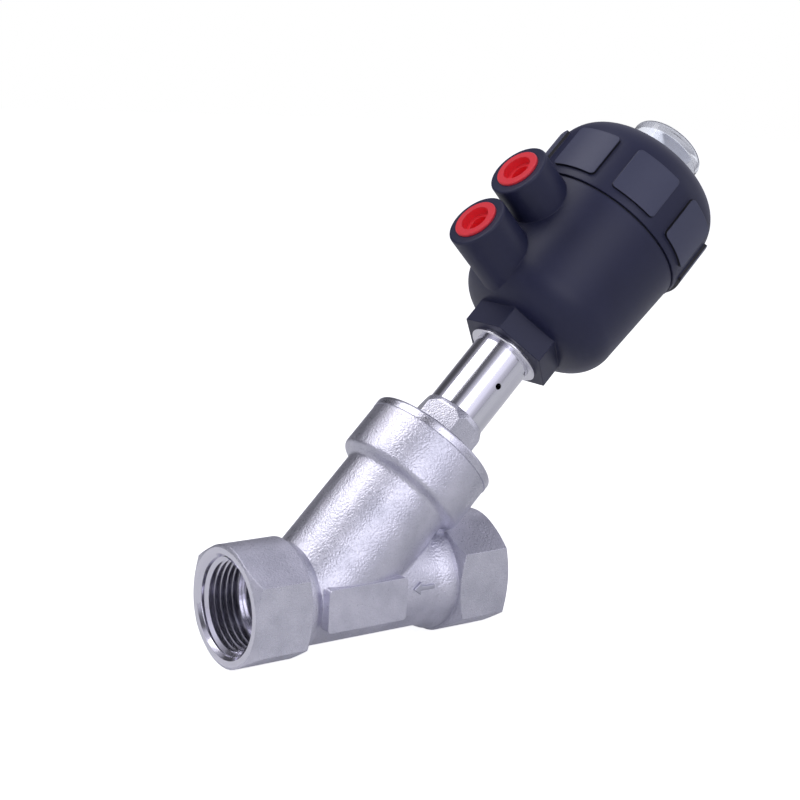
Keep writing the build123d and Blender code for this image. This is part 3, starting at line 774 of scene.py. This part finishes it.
class VALVE_OT_arrow(bpy.types.Operator):
    """Raise the flow arrow on the inlet neck"""

    bl_idname = "valve.arrow"
    bl_label = "Flow arrow"

    def execute(self, context):
        sizes = context.scene.valve_arrow
        neck = sizes.tip + sizes.head
        outline = [
            (sizes.tip, 0.0),
            (neck, sizes.half_head),
            (neck, sizes.half_shaft),
            (sizes.tail, sizes.half_shaft),
            (sizes.tail, -sizes.half_shaft),
            (neck, -sizes.half_shaft),
            (neck, -sizes.half_head),
        ]
        # the outline is extruded clear of the body, and both sides are then set on the neck
        front, back = -0.03, -0.01
        arrow = section_piece("flow_arrow", [(x, front, sizes.height + z) for x, z in outline])
        select_only(arrow)
        bpy.ops.object.mode_set(mode="EDIT")
        bpy.ops.mesh.select_all(action="SELECT")
        bpy.ops.mesh.edge_face_add()
        bpy.ops.mesh.extrude_region_move(
            TRANSFORM_OT_translate={"value": (0, back - front, 0)}
        )
        bpy.ops.mesh.select_all(action="SELECT")
        bpy.ops.mesh.normals_make_consistent(inside=False)
        bpy.ops.object.mode_set(mode="OBJECT")
        wall = self.front_wall(neck, sizes.height)
        for vertex in arrow.data.vertices:
            in_front = vertex.co.y < (front + back) / 2
            vertex.co.y = wall - sizes.proud if in_front else wall + sizes.sunk
        bevel = arrow.modifiers.new("soft_edge", "BEVEL")
        bevel.width = sizes.edge
        bevel.segments = 3
        bpy.ops.object.modifier_apply(modifier=bevel.name)
        bpy.ops.object.shade_smooth_by_angle(angle=radians(50))
        settle(arrow, "valve", finishes["arrow"])
        return {"FINISHED"}

    @staticmethod
    def front_wall(x, z):
        """Where the body's front wall stands at one place along the pipe."""
        body = bpy.data.objects["cast_body"]
        bpy.context.view_layer.update()
        hit, place, *_ = body.ray_cast(Vector((x, -0.1, z)), Vector((0, 1, 0)))
        if not hit:
            raise RuntimeError("the neck has no front wall at the arrow")
        return place.y


class VALVE_OT_bonnet(bpy.types.Operator):
    """Dress the bonnet, the spacer tube and its collar"""

    bl_idname = "valve.bonnet"
    bl_label = "Bonnet and tube"

    def execute(self, context):
        for node, name, slot, finish in (
            ("bonnet", "turned_bonnet", "satin_stainless", "satin"),
            ("spacer_tube", "polished_spacer", "polished_tube", "polished"),
            ("tube_collar", "polished_collar", "bright_stainless", "polished"),
        ):
            settle(copied_node(node, name), "valve", finishes[finish], [node])
        return {"FINISHED"}


class VALVE_OT_actuator(bpy.types.Operator):
    """Dress the moulded housing and cap"""

    bl_idname = "valve.actuator"
    bl_label = "Actuator"

    def execute(self, context):
        for node, name, slot in (
            ("actuator_housing", "moulded_housing", "actuator_plastic"),
            ("actuator_cap", "moulded_cap", "cap_plastic"),
        ):
            settle(copied_node(node, name), "actuator", finishes[slot], [node])
        return {"FINISHED"}


class VALVE_OT_dome(bpy.types.Operator):
    """Dress the clear sight dome"""

    bl_idname = "valve.dome"
    bl_label = "Sight dome"

    def execute(self, context):
        dome = copied_node("sight_dome", "clear_sight_dome")
        settle(dome, "actuator", finishes["dome"], ["sight_dome"])
        return {"FINISHED"}


class VALVE_OT_plugs(bpy.types.Operator):
    """Dress the two dust plugs"""

    bl_idname = "valve.plugs"
    bl_label = "Dust plugs"

    def execute(self, context):
        for node, body in (
            ("port_plug_open", "open_port_plug"),
            ("port_plug_close", "close_port_plug"),
        ):
            plug = copied_node(node, node + "_red")
            settle(plug, body, finishes["plug"], [node])
        return {"FINISHED"}


class VALVE_OT_spring(bpy.types.Operator):
    """Dress the closing spring and give it a mesh of its own"""

    bl_idname = "valve.spring"
    bl_label = "Closing spring"

    def execute(self, context):
        spring = copied_node("closing_spring", "closing_spring_coil", radians(50))
        settle(
            spring, "actuator", finishes["spring_steel"], ["closing_spring"]
        )
        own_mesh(spring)
        return {"FINISHED"}


class VALVE_OT_stage(bpy.types.Operator):
    """Set the floor, the lamps, the sky and the camera"""

    bl_idname = "valve.stage"
    bl_label = "Stage"

    def execute(self, context):
        sizes = context.scene.valve_stage
        self.floor(sizes)
        self.sky(context.scene)
        middle = (Vector(cad_box[0]) + Vector(cad_box[1])) / 2
        for name, place, sides, power, tint in LAMPS:
            self.lamp(name, middle + Vector(place), sides, power, tint, middle)
        self.camera(context.scene, sizes)
        context.scene.view_settings.view_transform = "Standard"
        return {"FINISHED"}

    @staticmethod
    def floor(sizes):
        """A pale sheet under the valve."""
        bpy.ops.object.select_all(action="DESELECT")
        bpy.ops.mesh.primitive_grid_add(
            x_subdivisions=2, y_subdivisions=2, size=sizes.floor_size
        )
        floor = bpy.context.object
        floor.name = floor.data.name = "studio_floor"
        floor.location = (0, 0, cad_box[0][2] - FLOOR_GAP)
        bpy.ops.object.transform_apply(location=True)
        material, tree, _ = new_material("studio_paper", (0.9, 0.9, 0.91, 1), 0.0, 0.9)
        rays = add_node(tree, "ShaderNodeLightPath").outputs
        mirrored = calc(tree, "MULTIPLY", rays["Is Glossy Ray"], FLOOR_MIRRORED)
        strength = calc(tree, "MULTIPLY_ADD", rays["Is Camera Ray"], FLOOR_SEEN, mirrored)
        glow = add_node(tree, "ShaderNodeEmission", links={"Color": WHITE, "Strength": strength})
        paper = tree.nodes["Principled BSDF"]
        both = add_node(
            tree, "ShaderNodeAddShader", links={0: paper.outputs[0], 1: glow.outputs[0]}
        )
        feed(tree, both.outputs[0], tree.nodes["Material Output"].inputs["Surface"])
        floor.data.materials.append(material)

    @staticmethod
    def sky(scene):
        """A white surround for the view, with light and dark cards around the stem."""
        world = bpy.data.worlds.new("studio_surround")
        scene.world = world
        world.use_nodes = True
        tree = world.node_tree
        rays = add_node(tree, "ShaderNodeLightPath").outputs
        direction = add_node(tree, "ShaderNodeTexCoord").outputs["Generated"]
        around = calc(
            tree, "ARCTAN2", dot(tree, direction, STEM_FRONT), dot(tree, direction, STEM_SIDE)
        )
        cards = add_node(
            tree, "ShaderNodeValToRGB",
            links={0: calc(tree, "MULTIPLY_ADD", around, 0.5 / pi, 0.5)},
        )
        ramp = cards.color_ramp
        ramp.interpolation = "EASE"
        steps = [(degrees / 360 + 0.5, level) for degrees, level in CARDS]
        # a new ramp has a first and a last step already
        for place, _ in steps[1:-1]:
            ramp.elements.new(place)
        for element, (place, level) in zip(ramp.elements, steps):
            element.position = place
            element.color = (*(tint * level for tint in CARD_TINT), 1)
        near_pole = remap(tree, dot(tree, direction, STEM_UP), POLE_FROM, POLE_FULL)
        shown = mixed(tree, near_pole, cards.outputs["Color"], POLE_COLOUR)
        unseen = mixed(tree, rays["Is Glossy Ray"], DULL_SKY, shown)
        unseen = mixed(tree, rays["Is Transmission Ray"], unseen, CLEAR_SKY)
        background = tree.nodes["Background"].inputs
        feed(tree, mixed(tree, rays["Is Camera Ray"], unseen, WHITE), background["Color"])
        background["Strength"].default_value = 1.0

    @staticmethod
    def lamp(name, place, sides, power, tint, aim):
        """A soft rectangular lamp pointed at the valve."""
        light = bpy.data.lights.new(name, "AREA")
        light.shape = "RECTANGLE"
        light.size, light.size_y = sides
        light.energy = power
        light.color = tint
        lamp = bpy.data.objects.new(name, light)
        lamp.location = place
        lamp.rotation_euler = (aim - place).to_track_quat("-Z", "Y").to_euler()
        bpy.context.scene.collection.objects.link(lamp)

    @staticmethod
    def camera(scene, sizes):
        """The camera, turned by azimuth, elevation and roll."""
        turn, lift, roll = sizes.azimuth, sizes.elevation, sizes.roll
        back = Vector((sin(turn) * cos(lift), -cos(turn) * cos(lift), sin(lift)))
        level = Vector((cos(turn), sin(turn), 0.0))
        upright = back.cross(level)
        right = level * cos(roll) + upright * sin(roll)
        up = upright * cos(roll) - level * sin(roll)
        data = bpy.data.cameras.new("studio_camera")
        data.lens = sizes.lens
        data.sensor_width = SENSOR_WIDTH
        data.clip_start = CLIP_START
        camera = bpy.data.objects.new("studio_camera", data)
        camera.matrix_world = Matrix.Translation(Vector(sizes.camera_place)) @ Matrix(
            (right, up, back)
        ).transposed().to_4x4()
        scene.collection.objects.link(camera)
        scene.camera = camera


class VALVE_PT_panel(bpy.types.Panel):
    """Lists the valve's pieces in the sidebar"""

    bl_idname = "VALVE_PT_panel"
    bl_label = "Angle seat valve"
    bl_space_type = "VIEW_3D"
    bl_region_type = "UI"
    bl_category = "Valve"

    def draw(self, context):
        for operator in OPERATORS:
            self.layout.operator(operator.bl_idname)
        for name in GROUPS:
            box = self.layout.box()
            settings = getattr(context.scene, name)
            for label in settings.bl_rna.properties.keys():
                if label not in {"rna_type", "name"}:
                    box.prop(settings, label)


GROUPS = {
    "valve_threads": ThreadSizes,
    "valve_arrow": ArrowSizes,
    "valve_colours": FinishColours,
    "valve_stage": StageSizes,
}
OPERATORS = (
    VALVE_OT_finishes,
    VALVE_OT_body,
    VALVE_OT_threads,
    VALVE_OT_arrow,
    VALVE_OT_bonnet,
    VALVE_OT_actuator,
    VALVE_OT_dome,
    VALVE_OT_plugs,
    VALVE_OT_spring,
    VALVE_OT_stage,
)


def register():
    """Register the classes and hang the settings on the scene."""
    for name, group in GROUPS.items():
        bpy.utils.register_class(group)
        setattr(bpy.types.Scene, name, PointerProperty(type=group))
    for operator in OPERATORS:
        bpy.utils.register_class(operator)
    bpy.utils.register_class(VALVE_PT_panel)


def unregister():
    """Take the classes and settings away again."""
    bpy.utils.unregister_class(VALVE_PT_panel)
    for operator in reversed(OPERATORS):
        bpy.utils.unregister_class(operator)
    for name, group in GROUPS.items():
        delattr(bpy.types.Scene, name)
        bpy.utils.unregister_class(group)


def main():
    """Build every piece in order."""
    register()
    for operator in OPERATORS:
        group, name = operator.bl_idname.split(".")
        getattr(getattr(bpy.ops, group), name)()


if __name__ == "__main__":
    main()
